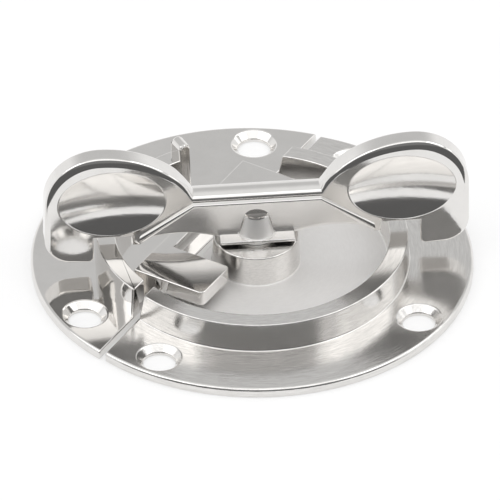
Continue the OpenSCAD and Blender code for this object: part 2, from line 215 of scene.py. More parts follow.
def ridge_section(rise, bar):
    """The way from the face over the ridge along the lower edge, as edge_section gives it.
    A rise of 0 leaves a plain edge. Bar goes from 0 on a lobe to 1 on the bar, where the ridge
    is narrower."""
    lobe_h = RIDGE_R * (1 - math.cos(RIDGE_LEAN))
    radius = RIDGE_R + (BAR_RIDGE_R - RIDGE_R) * bar
    height = lobe_h + (BAR_RIDGE_H - lobe_h) * bar
    turns = [RIDGE_LEAN * (k / 4 - 1) for k in range(5)] + [math.pi / 2 * k / 8 for k in range(1, 9)]
    steps = [(radius * (1 - math.sin(a)), radius * (1 - math.cos(a)) - height, a) for a in turns]
    inset, fall, lean = steps[0]
    steps.insert(0, (inset - fall / math.tan(RIDGE_LEAN), 0.0, lean))
    return mixed(edge_section(0.0, PLAIN_EDGE), steps, rise)


def wing_outline():
    """One lobe's half of the outline, from the middle of the bar's top round to the middle of its underside.
    Each point has the section of the margin and the edge there."""
    points = []

    def add(pairs, section):
        for u, z in pairs:
            if not points or math.dist(points[-1][0], (u, z)) > 1e-6:
                points.append(((u, z), section(u, z) if callable(section) else section))

    shoulder = math.degrees(math.asin((BAR_TOP - LOBE_TOP + SHOULDER_R) / SHOULDER_R))
    tab_top = TAB_Z + TAB_ROUND
    add([(CROTCH_U * i / 6, BAR_TOP) for i in range(7)], crown_section())
    add(arc((LOBE_U, LOBE_TOP - SHOULDER_R), SHOULDER_R, 180 - shoulder, 90, 72), margin_section)
    add(arc((LOBE_U, LOBE_Z), LOBE_R, 90, 0, 56), margin_section)
    add([(WING_REACH, LOBE_Z - (LOBE_Z - tab_top) * i / 8) for i in range(9)], margin_section)
    add(arc((WING_REACH - TAB_ROUND, tab_top), TAB_ROUND, 0, -90, 28), margin_section)
    inner = arc((TAB_U + TAB_INNER, TAB_Z + TAB_INNER), TAB_INNER, -90, -180, 10)
    notch = [(TAB_U, ARCH_Z), (NOTCH_U, ARCH_Z), (NOTCH_U, HEEL_Z), (HEEL_U, HEEL_Z)]
    add(inner, edge_section(0.0, TAB_EDGE))
    add(notch, edge_section(0.0, NOTCH_EDGE))
    for k in (i / 32 for i in range(1, 33)):
        point = (HEEL_U + (CROTCH_U - HEEL_U) * k, HEEL_Z + (BAR_BOTTOM - HEEL_Z) * k)
        add([point], ridge_section(min(k / RIDGE_FADE, 1.0), k))
    add([(CROTCH_U * (1 - i / 6), BAR_BOTTOM) for i in range(7)], ridge_section(1.0, 1.0))
    return points


def add_wing_plate(skin):
    """The two lobes and the bar, with margins, rounded edges and a dish in each side of each lobe."""
    right = wing_outline()
    left = [((-u, z), section) for (u, z), section in reversed(right)]
    loop = right[:-1] + left[:-1]
    count = len(loop)
    sides = []
    for i in range(count):
        (u0, z0), (u1, z1) = loop[i][0], loop[(i + 1) % count][0]
        length = math.hypot(u1 - u0, z1 - z0)
        sides.append(((z0 - z1) / length, (u1 - u0) / length))
    limit = math.cos(math.radians(20))
    sharp = [sides[i - 1][0] * sides[i][0] + sides[i - 1][1] * sides[i][1] < limit for i in range(count)]
    sections = [section for _, section in loop]

    def inward(i, inset):
        (u, z), (a, b), (c, d) = loop[i][0], sides[i - 1], sides[i]
        k = inset / (1 + a * c + b * d)
        return u - k * (a + c), z - k * (b + d)

    def side_normal(i, side):
        if sharp[i]:
            return sides[side]
        (a, b), (c, d) = sides[i - 1], sides[i]
        return (a + c) / 2, (b + d) / 2

    for face in (-1, 1):
        for i in range(count):
            rows = []
            for k in range(len(sections[i])):
                row = []
                for p in (i, (i + 1) % count):
                    inset, fall, tilt = sections[p][k]
                    u, z = inward(p, inset)
                    n = side_normal(p, i)
                    row.append((
                        (u, face * (WING_T / 2 - fall), z),
                        (n[0] * math.sin(tilt), face * math.cos(tilt), n[1] * math.sin(tilt)),
                    ))
                rows.append(row)
            skin.grid(rows)
        loops = [[]]
        for i in range(count):
            u, z = inward(i, sections[i][0][0])
            loops[0].append((u, face * WING_T / 2, z))
        for side in (-1, 1):
            loops.append(add_dish(skin, side, face))
        skin.flat(loops, (0, face, 0))
    for i in range(count):
        rows = []
        for face in (-1, 1):
            row = []
            for p in (i, (i + 1) % count):
                n = side_normal(p, i)
                (u, z), fall = loop[p][0], sections[p][-1][1]
                row.append(((u, face * (WING_T / 2 - fall), z), (n[0], 0, n[1])))
            rows.append(row)
        skin.grid(rows)


def add_dish(skin, side, face):
    """One finger dish; returns its rim."""
    axis = ((DISH_H / 2) ** 2 - DISH_DEPTH ** 2) / (2 * DISH_DEPTH)
    arc_r = ((DISH_L / 2) ** 2 + DISH_DEPTH ** 2) / (2 * DISH_DEPTH)

    def spindle(u):
        fall = math.sqrt(arc_r ** 2 - u ** 2)
        return axis + DISH_DEPTH - arc_r + fall, -u / fall

    def rim(a):
        u = DISH_L / 2 * math.cos(a)
        return u, math.copysign(math.sqrt(max(spindle(u)[0] ** 2 - axis ** 2, 0.0)), math.sin(a))

    def inside(u, z):
        radius, slope = spindle(u)
        v = axis - math.sqrt(radius ** 2 - z ** 2)
        return Vector((u, v, z)), Vector((radius * slope, axis - v, -z)).normalized()

    steps, rings, bends = 128, 14, 4
    rows = [[] for _ in range(rings + 1 + bends)]
    for k in range(steps + 1):
        u, z = rim(2 * math.pi * k / steps)
        near = RIM_SOFT / math.hypot(u, z)
        shares = [(1 - near) * i / rings for i in range(rings + 1)]
        line = [inside(u * share, z * share) for share in shares]
        (low, lean), edge, out = line[-1], Vector((u, 0, z)), Vector((u * (1 + near), 0, z * (1 + near)))
        for t in (bend / bends for bend in range(1, bends + 1)):
            point = low * (1 - t) ** 2 + edge * (2 * t * (1 - t)) + out * t ** 2
            line.append((point, lean * (1 - t) + Vector((0, t, 0))))
        for row, (point, normal) in zip(rows, line):
            row.append((
                (side * DISH_U + point.x, face * (WING_T / 2 + point.y), DISH_Z + point.z),
                (normal.x, face * normal.y, normal.z),
            ))
    skin.grid(rows)
    return [point for point, _ in rows[-1][:-1]]


def add_web(skin):
    """The hollowed web under the bar, with an arch in each side, closed at its top and its ends."""
    start, end = FOOT_L / 2 - WEB_LAP, HEEL_U + 2 * WEB_LAP
    arch_r = ((end - start) ** 2 / 4 + ARCH_RISE ** 2) / (2 * ARCH_RISE)
    arch_u = (start + end) / 2
    begin, reach = FOOT_L / 2 - FOOT_LAP, HEEL_U - WEB_LAP
    top = BAR_BOTTOM + WEB_TOP_LAP

    def cove(z):
        return WEB_T / 2 + COVE_R - math.sqrt(COVE_R ** 2 - (z - COVE_Z) ** 2)

    def section(low):
        points = []
        for z in (top + (low + WEB_EDGE - top) * k / 20 for k in range(21)):
            points.append((cove(z), z))
        middle = points[-1][0] - WEB_EDGE
        for a in (math.pi / 2 * k / 6 for k in range(1, 7)):
            points.append((middle + WEB_EDGE * math.cos(a), low + WEB_EDGE - WEB_EDGE * math.sin(a)))
        return points + [(0.0, low)]

    right = []
    for u in (begin + (reach - begin) * k / 40 for k in range(41)):
        low = HEEL_Z + ARCH_RISE - arch_r + math.sqrt(arch_r ** 2 - (u - arch_u) ** 2)
        right.append((u, section(max(low, HEEL_Z))))
    loops = [(-u, loop) for u, loop in reversed(right)] + right
    for face in (-1, 1):
        rows = [[(u, face * v, z) for v, z in loop] for u, loop in loops]
        add_shaded(skin, rows, Vector((0, face, -0.2)))
    skin.grid([[((u, face * cove(top), top), (0, 0, 1)) for u, _ in loops] for face in (-1, 1)])
    for u, loop in (loops[0], loops[-1]):
        skin.grid([[((u, face * v, z), (u, 0, 0)) for face in (-1, 1)] for v, z in loop])


def add_shaded(skin, rows, outward):
    """A grid whose normals come from its own slopes, with creases where it turns sharply."""
    def at(i, j):
        return Vector(rows[i][j])

    flats = {}
    for i, j in itertools.product(range(len(rows) - 1), range(len(rows[0]) - 1)):
        n = (at(i + 1, j + 1) - at(i, j)).cross(at(i + 1, j) - at(i, j + 1))
        if n.length > 1e-12:
            flats[i, j] = -n if n.dot(outward) < 0 else n
    for (i, j), own in flats.items():
        corners = []
        for a, b in ((i, j), (i, j + 1), (i + 1, j + 1), (i + 1, j)):
            total = Vector((0, 0, 0))
            for near in itertools.product((a - 1, a), (b - 1, b)):
                if near in flats and flats[near].angle(own) < CREASE:
                    total += flats[near].normalized()
            corners.append((rows[a][b], total.normalized()))
        skin.quad(*corners)


def add_block(skin, low, high, edge):
    """A box with rounded edges."""
    inner = [(low[k] + edge, high[k] - edge) for k in range(3)]
    turns = [math.pi / 2 * k / 4 for k in range(5)]
    signs = (-1, 1)
    for axis in range(3):
        a, b = (axis + 1) % 3, (axis + 2) % 3

        def corner(along, at, n):
            """A point on the rounds along this axis, or on the flat face across it, with its normal."""
            p = [0.0, 0.0, 0.0]
            p[axis], p[a], p[b] = along, inner[a][at[0]] + edge * n[a], inner[b][at[1]] + edge * n[b]
            return tuple(p), tuple(n)

        for sign in (0, 1):
            n = [0.0, 0.0, 0.0]
            n[axis] = signs[sign]
            face = (low, high)[sign][axis]
            skin.quad(*[corner(face, at, n) for at in ((0, 0), (1, 0), (1, 1), (0, 1))])
        for i, j in itertools.product((0, 1), (0, 1)):
            rows = []
            for end in inner[axis]:
                row = []
                for t in turns:
                    n = [0.0, 0.0, 0.0]
                    n[a], n[b] = signs[i] * math.cos(t), signs[j] * math.sin(t)
                    row.append(corner(end, (i, j), n))
                rows.append(row)
            skin.grid(rows)
    for i, j, k in itertools.product((0, 1), (0, 1), (0, 1)):
        middle = (inner[0][i], inner[1][j], inner[2][k])
        rows = []
        for t in turns:
            row = []
            for w in turns:
                n = (
                    signs[i] * math.cos(t) * math.cos(w),
                    signs[j] * math.cos(t) * math.sin(w),
                    signs[k] * math.sin(t),
                )
                row.append((tuple(m + edge * part for m, part in zip(middle, n)), n))
            rows.append(row)
        skin.grid(rows)


def stem_profile():
    """The stem with its ring groove, and the conical hub on it, as (radius, z) points."""
    return [
        (0, STEM_END), (STEM_R - STEM_BEVEL, STEM_END), (STEM_R, STEM_END + STEM_BEVEL),
        (STEM_R, GROOVE_LOW), (GROOVE_R, GROOVE_LOW), (GROOVE_R, GROOVE_HIGH), (STEM_R, GROOVE_HIGH),
        (STEM_R, HUB_LOW), (HUB_R, HUB_LOW), (HUB_R, HEEL_Z),
        *((HUB_SHOULDER - inset, HUB_TOP - fall) for inset, fall in HUB_ROUND), (0, HUB_TOP),
    ]


def wing_casting(finish):
    skin = Skin()
    add_wing_plate(skin)
    add_web(skin)
    half_l, half_w = FOOT_L / 2, FOOT_W / 2
    add_block(skin, (-half_l, -half_w, HEEL_Z), (half_l, half_w, HEEL_Z + FOOT_H), FOOT_EDGE)
    skin.turned(stem_profile())
    lift = Vector((0, 0, FLANGE_T * MM))
    place = Matrix.Translation(PIVOT + lift) @ Matrix.Rotation(WING_TURN, 4, "Z")
    wing = bpy.data.objects.new("wing_casting", skin.mesh("wing_casting", place))
    wing.data.materials.append(finish)
    bpy.context.scene.collection.objects.link(wing)
    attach(wing, "wing")
    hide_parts("wing_knob")


# Plates, drawn about the pivot axis in millimetres and cut as the castings are

SPLIT_X, KEEPER_X, KEEPER_SHIFT = 7.2, 8.1, 1.3
PLATE_R, RING_R, RING_IN, RING_DRAFT, RIM_BEVEL = 31.49, 22.0, 19.3, 0.2, 0.3
MAIN_RING_H, KEEPER_RING_H, RING_LEAN, RING_SUNK = 4.5, 4.9, 0.8, 0.3
BOSS_R, BOSS_FOOT, BOSS_H, BORE_R, POCKET_R, POCKET_Z = 6.2, 6.4, 4.7, 2.55, 4.8, 3.6
HOLE_CIRCLE, HOLE_R, SINK_R, SINK_DEPTH, KEEPER_HOLE_ANGLE = 27.4, 2.3, 3.3, 1.0, 61
LUG_ANGLE, LUG_W, LUG_H, LUG_SUNK, LUG_SPAN = 31.0, 1.8, 7.4, 0.6, 8
LUG_BAR_IN, LUG_BAR_OUT = 15.0, 26.0
FORK_W, SLOT_W, FORK_TOP, PRONG_T, PRONG_REACH = 30.8, 15.4, 3.75, 2.4, 0.2
FORK_WALL_T, FORK_NOTCH, FORK_LAP, PRONG_IN_R, PRONG_OUT_R = 3.3, 1.1, 0.4, 0.7, 0.9
EDGE_R, LUG_EDGE, EDGE_ANGLE = 0.2, 0.4, math.radians(24)
# How far the cutting tools reach outside the plates, and past a face
FAR, CUT_H, OVER = 80, 20.0, 1
KEEPER_CENTRE = (-KEEPER_SHIFT, 0)
RIM = [(PLATE_R, 0), (PLATE_R, FLANGE_T - RIM_BEVEL), (PLATE_R - RIM_BEVEL, FLANGE_T)]


def solid(name, points, faces):
    mesh = bpy.data.meshes.new(name)
    mesh.from_pydata([Vector(p) * MM for p in points], [], faces)
    bm = bmesh.new()
    bm.from_mesh(mesh)
    bmesh.ops.remove_doubles(bm, verts=bm.verts, dist=1e-7)
    bmesh.ops.recalc_face_normals(bm, faces=bm.faces)
    bm.to_mesh(mesh)
    bm.free()
    made = bpy.data.objects.new(name, mesh)
    bpy.context.scene.collection.objects.link(made)
    return made


def turned(name, profile, steps, start=0.0, end=360.0, centre=(0.0, 0.0)):
    """A solid of revolution about an upright axis from a closed (radius, z) profile."""
    whole = end - start >= 360.0
    stations = steps if whole else steps + 1
    points = []
    for a in (math.radians(start + (end - start) * i / steps) for i in range(stations)):
        points += [(centre[0] + r * math.cos(a), centre[1] + r * math.sin(a), z) for r, z in profile]
    n, faces = len(profile), []
    for i, k in itertools.product(range(steps), range(n)):
        j, m = (i + 1) % stations, (k + 1) % n
        faces.append([i * n + k, i * n + m, j * n + m, j * n + k])
    if not whole:
        faces += [list(range(n)), list(range(steps * n, stations * n))]
    return solid(name, points, faces)


def prism(name, first, second):
    """A solid between two outlines that have the same number of points."""
    n = len(first)
    sides = [[k, (k + 1) % n, (k + 1) % n + n, k + n] for k in range(n)]
    return solid(name, first + second, [list(range(n)), list(range(n, 2 * n))] + sides)


def slab(name, outline, low, high):
    return prism(name, [(x, y, low) for x, y in outline], [(x, y, high) for x, y in outline])


def carve(body, tool, operation="DIFFERENCE"):
    step = body.modifiers.new(operation, "BOOLEAN")
    step.operation, step.object, step.solver = operation, tool, "EXACT"
    apply_modifiers(body)
    bpy.data.objects.remove(tool)


def apply_modifiers(body):
    depsgraph = bpy.context.evaluated_depsgraph_get()
    body.data = bpy.data.meshes.new_from_object(body.evaluated_get(depsgraph))
    body.modifiers.clear()


def drill(body, centre_x, angle):
    """A countersunk screw hole."""
    a = math.radians(angle)
    low, high = -OVER, FLANGE_T + OVER
    profile = [
        (0, low), (HOLE_R, low), (HOLE_R, FLANGE_T - SINK_DEPTH),
        (SINK_R, FLANGE_T), (SINK_R, high), (0, high),
    ]
    at = (centre_x + HOLE_CIRCLE * math.cos(a), HOLE_CIRCLE * math.sin(a))
    carve(body, turned("drill", profile, 64, centre=at))


def ring_profile(height):
    """The section of a ring wall, sunk into the flange."""
    foot, top = FLANGE_T - RING_SUNK, FLANGE_T + height
    inner, outer = RING_IN - RING_DRAFT, RING_R + RING_DRAFT
    return [
        (inner, foot), (outer, foot), (outer, FLANGE_T), (RING_R, top), (RING_IN, top), (inner, FLANGE_T)
    ]


def main_solid():
    """The main plate with its ring wall, boss, bore and spring pocket."""
    z, ring_top, boss_top = FLANGE_T, FLANGE_T + MAIN_RING_H, FLANGE_T + BOSS_H
    body = turned("main", [
        (POCKET_R, 0), *RIM, (RING_R + RING_DRAFT, z), (RING_R, ring_top), (RING_IN, ring_top),
        (RING_IN - RING_DRAFT, z), (BOSS_FOOT, z), (BOSS_R, boss_top), (BORE_R, boss_top),
        (BORE_R, POCKET_Z), (POCKET_R, POCKET_Z),
    ], 240)
    split = [(-FAR, -FAR), (-SPLIT_X, -FAR), (-SPLIT_X, FAR), (-FAR, FAR)]
    carve(body, slab("split", split, -OVER, FAR))
    # The leaning cut takes the ring wall's ends, which lie outside the boss
    lean = RING_LEAN / MAIN_RING_H * CUT_H
    section = [(-FAR, z), (-SPLIT_X, z), (-SPLIT_X + lean, z + CUT_H), (-FAR, z + CUT_H)]
    carve(body, prism("lean", [(x, -FAR, h) for x, h in section], [(x, FAR, h) for x, h in section]))
    for angle in (-90, 0, 90):
        drill(body, 0.0, angle)
    return body


def keeper_split():
    return slab("split", [(-KEEPER_X, -FAR), (FAR, -FAR), (FAR, FAR), (-KEEPER_X, FAR)], -OVER, FAR)


def keeper_flange():
    flange = turned("keeper", [(0, 0), *RIM, (0, FLANGE_T)], 240, centre=KEEPER_CENTRE)
    carve(flange, keeper_split())
    for side in (-1, 1):
        drill(flange, KEEPER_CENTRE[0], 180 + side * KEEPER_HOLE_ANGLE)
    return flange


def keeper_wall():
    wall = turned("wall", ring_profile(KEEPER_RING_H), 100, 180 - LUG_ANGLE, 270, centre=KEEPER_CENTRE)
    carve(wall, keeper_split())
    return wall


def stop_lug():
    """The lug at the ring wall's end: a stretch of a higher wall inside a bar with a round top."""
    angle = 180 - LUG_ANGLE
    lug = turned("lug", ring_profile(LUG_H), 24, angle - LUG_SPAN, angle + LUG_SPAN, centre=KEEPER_CENTRE)
    c, s = math.cos(math.radians(angle)), math.sin(math.radians(angle))
    low, half = FLANGE_T - LUG_SUNK, LUG_W / 2
    section = [(-half, low), (half, low)] + arc((0, FLANGE_T + LUG_H - half), half, 0, 180, 24)
    ends = []
    for r in (LUG_BAR_IN, LUG_BAR_OUT):
        ends.append([(KEEPER_CENTRE[0] + r * c - side * s, r * s + side * c, h) for side, h in section])
    carve(lug, prism("lug bar", *ends), "INTERSECT")
    return lug


def mirrored(outline):
    """An outline closed by its mirror image across the x axis."""
    return outline + [(x, -y) for x, y in reversed(outline)]


def keeper_fork():
    half, slot = FORK_W / 2, SLOT_W / 2
    outline = [
        (-KEEPER_X - FORK_WALL_T, half),
        *arc((PRONG_REACH - PRONG_OUT_R, half - PRONG_OUT_R), PRONG_OUT_R, 90, 0, 10),
        *arc((PRONG_REACH - PRONG_IN_R, slot + PRONG_IN_R), PRONG_IN_R, 0, -90, 14),
        (-KEEPER_X - FORK_NOTCH, slot),
    ]
    return slab("fork", mirrored(outline), FLANGE_T + FORK_TOP - PRONG_T, FLANGE_T + FORK_TOP)


def cross_wall():
    """The wall that carries the fork on the keeper's flange."""
    half, slot = FORK_W / 2, SLOT_W / 2
    outline = [
        (-KEEPER_X - FORK_WALL_T, half), (-KEEPER_X, half),
        (-KEEPER_X, slot), (-KEEPER_X - FORK_NOTCH, slot),
    ]
    return slab("cross wall", mirrored(outline), FLANGE_T / 2, FLANGE_T + FORK_TOP - PRONG_T + FORK_LAP)


def rounded(body, edge_r):
    """Rounds every sharp edge of a solid, and moves it from the pivot axis to its place."""
    bm = bmesh.new()
    bm.from_mesh(body.data)
    bmesh.ops.remove_doubles(bm, verts=bm.verts, dist=1e-6)
    bmesh.ops.dissolve_limit(
        bm, angle_limit=math.radians(0.2), verts=bm.verts, edges=bm.edges, use_dissolve_boundaries=False
    )
    bm.normal_update()
    for v in bm.verts:
        v.co += PIVOT
    bm.to_mesh(body.data)
    bm.free()
    for face in body.data.polygons:
        face.use_smooth = True
    body.data.set_sharp_from_angle(angle=EDGE_ANGLE)
    bevel = body.modifiers.new("edge rounds", "BEVEL")
    bevel.limit_method, bevel.angle_limit = "ANGLE", EDGE_ANGLE
    bevel.offset_type, bevel.width, bevel.segments = "OFFSET", edge_r * MM, 3
    bevel.use_clamp_overlap = False
    bevel.harden_normals = True
    apply_modifiers(body)
    return body


def plate_casting(name, node, finish, solids):
    """One piece in place of a CAD node, from solids that overlap as one casting and their edge rounds."""
    bodies = [rounded(body, edge_r) for body, edge_r in solids]
    with bpy.context.temp_override(active_object=bodies[0], selected_editable_objects=bodies):
        bpy.ops.object.join()
    piece = bodies[0]
    piece.name = piece.data.name = name
    piece.data.materials.clear()
    piece.data.materials.append(finish)
    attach(piece, "base")
    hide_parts(node)


# Finishes

class Socket:
    """A shader socket that takes part in arithmetic."""

    def __init__(self, finish, socket):
        self.finish, self.socket = finish, socket

    def math(self, operation, *values):
        return self.finish.node("ShaderNodeMath", {"operation": operation}, *values)[0]

    def __add__(self, other):
        return self.math("ADD", self, other)

    def __sub__(self, other):
        return self.math("SUBTRACT", self, other)

    def __rsub__(self, other):
        return self.math("SUBTRACT", other, self)

    def __mul__(self, other):
        return self.math("MULTIPLY", self, other)

    def __pow__(self, other):
        return self.math("POWER", self, other)

    def __rpow__(self, other):
        return self.math("POWER", other, self)

    def __abs__(self):
        return self.math("ABSOLUTE", self)

    __radd__, __rmul__ = __add__, __mul__


class Finish:
    """A node tree under construction."""

    def __init__(self, tree):
        self.tree = tree
        tree.nodes.clear()

    def node(self, kind, settings=None, *values, **named):
        made = self.tree.nodes.new(kind)
        for key, value in (settings or {}).items():
            setattr(made, key, value)
        by_name = [(made.inputs[key.replace("_", " ")], value) for key, value in named.items()]
        for target, value in [*zip(made.inputs, values), *by_name]:
            if isinstance(value, Socket):
                self.tree.links.new(value.socket, target)
            elif value is not None:
                target.default_value = value
        return [Socket(self, s) for s in made.outputs]

    def place(self):
        return self.node("ShaderNodeTexCoord")[3]

    def axes(self, vector):
        return self.node("ShaderNodeSeparateXYZ", None, vector)

    def vector(self, x, y, z):
        return self.node("ShaderNodeCombineXYZ", None, x, y, z)[0]

    def noise(self, where, scale, detail, roughness):
        measures = {"Scale": scale, "Detail": detail, "Roughness": roughness}
        return self.node("ShaderNodeTexNoise", None, where, **measures)[0]

    def between(self, value, low, high, out_low=0.0, out_high=1.0):
        smooth = {"interpolation_type": "SMOOTHSTEP"}
        return self.node("ShaderNodeMapRange", smooth, value, low, high, out_low, out_high)[0]

    def beyond(self, value, limits):
        """0 before a pair of limits in millimetres, and 1 beyond it."""
        return self.between(value, limits[0] * MM, limits[1] * MM)

    def within(self, value, limits):
        """1 before a pair of limits in millimetres, and 0 beyond it."""
        return self.between(value, limits[0] * MM, limits[1] * MM, 1.0, 0.0)

    def blend(self, factor, first, second):
        unused = [None] * 5
        return self.node("ShaderNodeMix", {"data_type": "RGBA"}, factor, *unused, first, second)[2]


CLOUD_SCALE, GRAIN_SCALE = 220.0, 2600.0
BRUSH_ACROSS, BRUSH_ROUND = 4500.0, 10.0
POLISH_ACROSS, POLISH_ALONG = 6000.0, 300.0
NOISE_LOW, NOISE_HIGH = 0.3, 0.7
# How dull the web, the hub and the main plate's floor are; the same amounts also lift their colour towards
# near white, painted light that stands in for the light their shade keeps out
WEB_DULL_AND_PAINTED_LIGHT, HUB_DULL_AND_PAINTED_LIGHT, FLOOR_DULL_AND_PAINTED_LIGHT, PAINTED_LIGHT_SHARE = 0.14, 0.3, 0.45, 1.6
# Near white that the dull places are lifted towards, as painted light
PAINTED_LIGHT_COLOUR = (1.0, 0.99, 0.98, 1)
# Pairs of millimetres over which a dull place, with its painted light, begins or ends
UNDER_BAR, WEB_ENDS = (0.0, 0.2), (0.0, 0.4)
ROUND_HUB, BELOW_HUB_TOP, BESIDE_WEB = (HUB_R + 0.08, HUB_R + 0.28), (0.17, 0.37), (1.1, 1.4)
ROUND_TOP, AT_TOP = (HUB_SHOULDER - 0.02, HUB_SHOULDER + 0.08), (0.03, 0.09)
FLOOR_TOP, FLOOR_END = (FLANGE_T + 0.1, FLANGE_T + 0.3), (RING_IN, RING_IN + 0.2)


def wing_recess(f, place):
    """How dull the wing is under the bar, where no polishing wheel reaches, and how dull its hub is; the
    same amount lifts their colour towards near white as painted light against the shade there.
    """
    x, y, z = f.axes(place)
    across = x - PIVOT.x
    along = across * math.cos(WING_TURN) + y * math.sin(WING_TURN)
    out = abs(y * math.cos(WING_TURN) - across * math.sin(WING_TURN))
    radius = (across * across + y * y) ** 0.5
    depth = (BAR_BOTTOM + FLANGE_T) * MM - z
    slope = (HEEL_U - CROTCH_U) / (BAR_BOTTOM - HEEL_Z)
    room = CROTCH_U * MM + depth * slope - abs(along)
    recess = f.beyond(depth, UNDER_BAR) * f.beyond(room, WEB_ENDS)
    below_top = depth - (BAR_BOTTOM - HUB_TOP) * MM
    hub = f.within(radius, ROUND_HUB) * f.beyond(below_top, BELOW_HUB_TOP) * f.beyond(out, BESIDE_WEB)
    top = f.within(radius, ROUND_TOP) * f.within(below_top, AT_TOP)
    return recess * WEB_DULL_AND_PAINTED_LIGHT * (1.0 - top) + hub * HUB_DULL_AND_PAINTED_LIGHT


def main_recess(f, place):
    """How dull the blasted floor inside the ring wall is; the same amount lifts its colour towards near
    white as painted light against the shade under the wing.
    """
    x, y, z = f.axes(place)
    across = x - PIVOT.x
    radius = (across * across + y * y) ** 0.5
    return f.within(z, FLOOR_TOP) * f.within(radius, FLOOR_END) * FLOOR_DULL_AND_PAINTED_LIGHT


def steel(name, colour, shade, roughness, wander, wave, pits, lines, streak, round_lines=False, recess=None):
    """Stainless steel: a colour pair, a mean roughness and its spread, heights of polishing waves,
    fine pits and brush lines in metres, how far the brush lines tone the colour, and where it is dull,
    with painted light there that lifts its colour towards near white."""
    material = bpy.data.materials.new(name)
    material.use_nodes = True
    f = Finish(material.node_tree)
    place = f.place()
    cloud = f.noise(place, CLOUD_SCALE, 3.0, 0.6)
    grain = f.noise(place, GRAIN_SCALE, 2.0, 0.6)
    x, y, z = f.axes(place)
    if round_lines:
        radius = (x * x + y * y) ** 0.5
        angle = x.math("ARCTAN2", y, x)
        brushed = f.vector(radius * BRUSH_ACROSS, angle * BRUSH_ROUND, z * BRUSH_ACROSS)
    else:
        brushed = f.vector(x * POLISH_ALONG, y * POLISH_ALONG, z * POLISH_ACROSS)
    brush = f.noise(brushed, 1.0, 3.0, 0.7)
    tone = f.between(cloud * (1.0 - streak) + brush * streak, NOISE_LOW, NOISE_HIGH)
    base = f.blend(tone, colour, shade)
    low, high = roughness - wander, roughness + wander
    rough = f.between(cloud * 0.5 + brush * 0.5, NOISE_LOW, NOISE_HIGH, low, high)
    if recess:
        dull = recess(f, place)
        rough = rough + dull
        # Painted light: the dull places are lifted towards near white to stand in for the light that their
        # shade keeps out
        base = f.blend(dull * PAINTED_LIGHT_SHARE, base, PAINTED_LIGHT_COLOUR)
    height = cloud * wave + grain * pits + brush * lines
    bump = f.node("ShaderNodeBump", None, Strength=1.0, Distance=1.0, Height=height)[0]
    shader = f.node(
        "ShaderNodeBsdfPrincipled", None, Base_Color=base, Metallic=1.0, Roughness=rough, Normal=bump
    )[0]
    f.node("ShaderNodeOutputMaterial", None, shader)
    return material


BRIGHT, MELLOW = (0.80, 0.786, 0.768, 1), (0.76, 0.746, 0.728, 1)
SATIN, SATIN_LINE = (0.82, 0.806, 0.788, 1), (0.70, 0.686, 0.668, 1)
ROLLED, ROLLED_LINE = (0.50, 0.49, 0.475, 1), (0.44, 0.43, 0.415, 1)
polished = steel(
    "polished steel", BRIGHT, MELLOW,
    roughness=0.08, wander=0.03, wave=5e-6, pits=2.5e-6, lines=0.1e-6, streak=0.2,
)
# The wing's and the main plate's finishes carry painted light in their recesses, through their recess
# argument
handled = steel(
    "hand polished steel", BRIGHT, MELLOW,
    roughness=0.09, wander=0.03, wave=9e-6, pits=3e-6, lines=0.1e-6, streak=0.2, recess=wing_recess,
)
satin = steel(
    "satin steel", SATIN, SATIN_LINE, roughness=0.17, wander=0.04, wave=1.2e-6, pits=2e-6, lines=12e-6,
    streak=0.8, round_lines=True, recess=main_recess,
)
rolled = steel(
    "rolled steel", ROLLED, ROLLED_LINE, roughness=0.3, wander=0.06, wave=0.6e-6, pits=0.1e-6, lines=0.6e-6,
    streak=0.5, round_lines=True,
)

wing_casting(handled)
plate_casting("main_casting", "main_plate", satin, [(main_solid(), EDGE_R)])
plate_casting("keeper_casting", "keeper_plate", polished, [
    (keeper_flange(), EDGE_R), (keeper_wall(), EDGE_R), (stop_lug(), LUG_EDGE),
    (keeper_fork(), EDGE_R), (cross_wall(), EDGE_R),
])
for inner in ("disc_spring", "thrust_washer", "retaining_ring"):
    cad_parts[inner].data.materials.clear()
    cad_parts[inner].data.materials.append(rolled)


# Studio: a white floor, a pale room, soft lamps, and dark cloths that only reflections show, in metres

CAMERA_AZIMUTH, CAMERA_ELEVATION = math.radians(30.7), math.radians(36.765)
PICTURE_WIDTH, PIXELS_PER_MM = 500, 6.91
SHIFT_RIGHT, SHIFT_UP, SHIFT_Z = -0.87 * MM, 1.36 * MM, 1.5 * MM
CAMERA_DISTANCE = 0.5
FLOOR_R, FLOOR_DROP, FLOOR_GLOW = 0.8, 0.02 * MM, 0.47
# The room's brightness, and the heights, as sines of the elevation, between which it changes
BACKDROP, WALLS, CEILING_LIFT = 0.98, 0.64, 0.28
WALLS_BEGIN, WALLS_FULL, CEILING_BEGIN, CEILING_FULL = 0.30, 0.56, 0.72, 0.98
CLOTH_NEAR, CLOTH_FAR, CLOTH_Z, CLOTH_TOP, SCREEN_TOP, CLOTH_FADE = 0.044, 0.3, 0.0001, 0.11, 0.275, 0.04


def toward(azimuth, elevation):
    return Vector((
        math.sin(azimuth) * math.cos(elevation),
        -math.cos(azimuth) * math.cos(elevation),
        math.sin(elevation),
    ))


def add_camera():
    back = toward(CAMERA_AZIMUTH, CAMERA_ELEVATION)
    right = Vector((math.cos(CAMERA_AZIMUTH), math.sin(CAMERA_AZIMUTH), 0.0))
    up = back.cross(right)
    middle = PIVOT + Vector((0, 0, SHIFT_Z)) + right * SHIFT_RIGHT + up * SHIFT_UP
    data = bpy.data.cameras.new("camera")
    data.type = "ORTHO"
    data.ortho_scale = PICTURE_WIDTH / PIXELS_PER_MM * MM
    data.clip_start, data.clip_end = 0.01, 10.0
    camera = bpy.data.objects.new("camera", data)
    camera.location = middle + back * CAMERA_DISTANCE
    camera.rotation_mode = "QUATERNION"
    camera.rotation_quaternion = (-back).to_track_quat("-Z", "Y")
    bpy.context.scene.collection.objects.link(camera)
    bpy.context.scene.camera = camera


